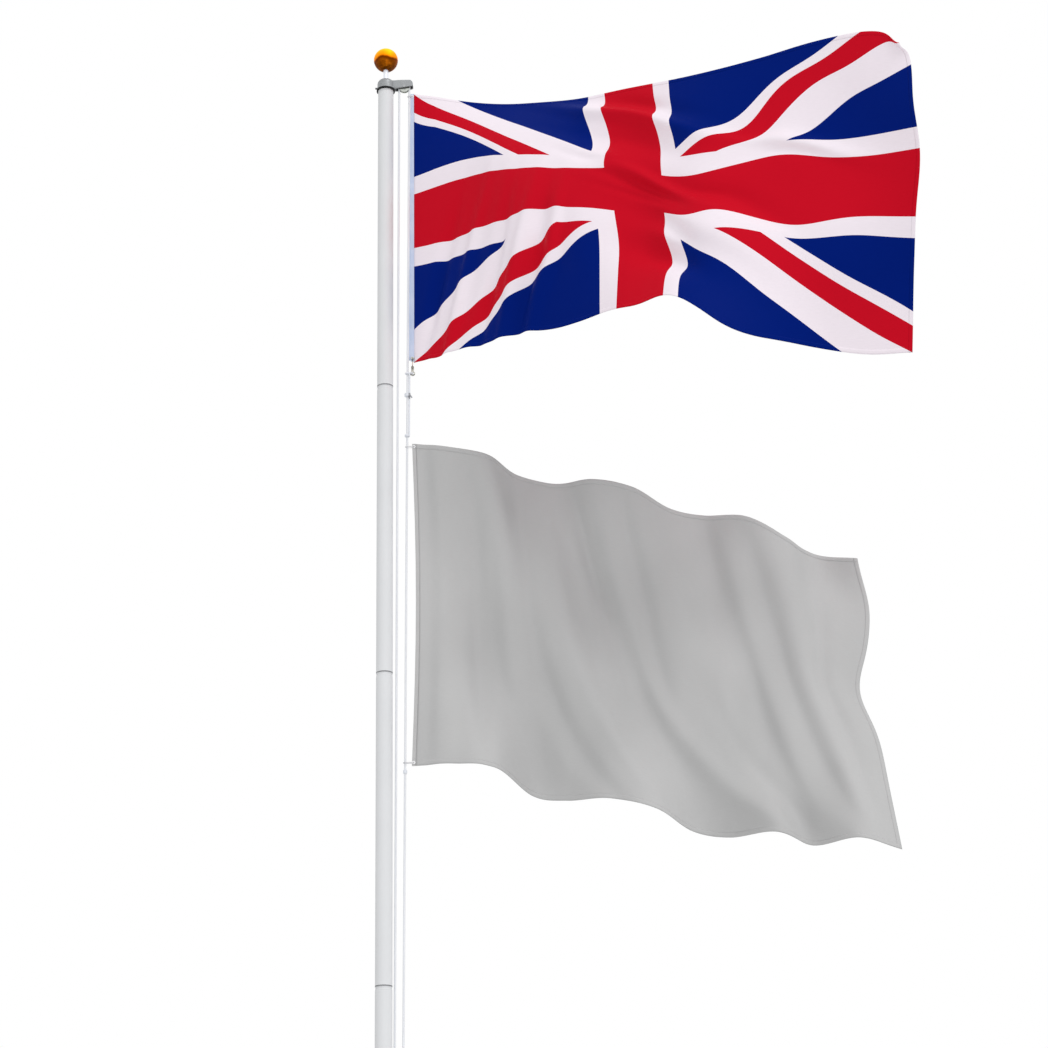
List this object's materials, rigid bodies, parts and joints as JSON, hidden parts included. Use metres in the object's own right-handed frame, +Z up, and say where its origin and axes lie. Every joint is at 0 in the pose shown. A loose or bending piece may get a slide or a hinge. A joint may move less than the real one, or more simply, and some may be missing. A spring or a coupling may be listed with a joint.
{
  "type": "flagpole",
  "caption": "Sectional aluminium flagpole with ball finial, pulley truck, rope halyard on a cleat and two flags flying from it.",
  "frame": {"origin": "on the pole's axis at ground level", "axes": "+Z up along the pole; +X the side of the truck's arm, the halyard and the flags"},
  "size_m": [1.6123, 1.0727, 5.9911],
  "materials": {
    "pole_tube": "satin",
    "grey_enamel": "hammered",
    "steel": "satin",
    "sheave_metal": "satin",
    "gold_ball": "mirror",
    "black_plastic": "matte",
    "grey_plastic": "matte",
    "rope": "braided",
    "cast_metal": "cast",
    "flag_cloth": "satin",
    "heading_tape": "matte",
    "grey_cloth": "satin",
    "grey_tape": "matte",
    "hook_metal": "polished"
  },
  "bodies": {
    "root": {"pole_section_1": "pole_tube", "pole_section_2": "pole_tube", "pole_section_3": "pole_tube", "pole_section_4": "pole_tube", "pole_section_5": "pole_tube", "pole_section_6": "pole_tube", "foot_plug": "black_plastic", "ground_sleeve": "grey_plastic", "truck": "grey_enamel", "truck_gasket": "black_plastic", "truck_set_screw": "steel", "sheave_axle": "steel", "finial_spindle": "steel", "finial_ball": "gold_ball", "halyard": "rope", "cleat": "cast_metal", "cleat_screws": "steel"},
    "sheave_body": {"sheave": "sheave_metal"},
    "flags_body": {"union_flag": "flag_cloth", "union_flag_heading": "heading_tape", "union_flag_grommets": "hook_metal", "grey_flag": "grey_cloth", "grey_flag_heading": "grey_tape", "grey_flag_grommets": "hook_metal", "union_top_link": "hook_metal", "union_bottom_hook": "hook_metal", "union_hook_cord": "rope", "union_knot": "rope", "grey_top_link": "hook_metal", "grey_upper_knot": "rope", "grey_bottom_link": "hook_metal", "grey_lower_knot": "rope"}
  },
  "joints": [
    {"name": "sheave_spin", "type": "hinge", "parent": "root", "child": "sheave_body", "pos_m": [0.0615, 0, 5.8455], "axis": [0, 1, 0], "continuous": true},
    {"name": "flags_hoist", "type": "slide", "parent": "root", "child": "flags_body", "axis": [0.0066, 0, 1], "range_m": [-2.1, 0]}
  ],
  "couplings": [
    {"joint": "sheave_spin", "follows": "flags_hoist", "rad_per_m": -59.702}
  ]
}
